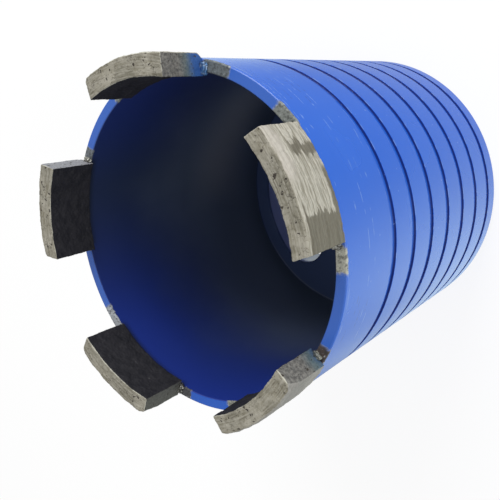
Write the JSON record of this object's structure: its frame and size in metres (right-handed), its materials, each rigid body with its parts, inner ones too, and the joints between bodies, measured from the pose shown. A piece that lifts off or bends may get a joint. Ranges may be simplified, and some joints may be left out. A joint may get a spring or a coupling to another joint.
{
  "type": "diamond core bit",
  "caption": "Blue steel tube with rings turned round it, diamond segments on its mouth and a slotted, threaded back plate; it cuts round holes in masonry.",
  "frame": {"origin": "centre of the back face, on which the bit stands", "axes": "+Z along the bit's axis, from the spindle end to the cutting end; +Y through the middle of one segment"},
  "size_m": [0.067, 0.0665, 0.0796],
  "materials": {
    "blue_paint": "satin",
    "sintered_metal": "rough, ground on the outside"
  },
  "bodies": {
    "root": {"barrel": "blue_paint", "back_plate": "blue_paint", "segment_1": "sintered_metal", "segment_2": "sintered_metal", "segment_3": "sintered_metal", "segment_4": "sintered_metal", "segment_5": "sintered_metal"}
  },
  "joints": []
}
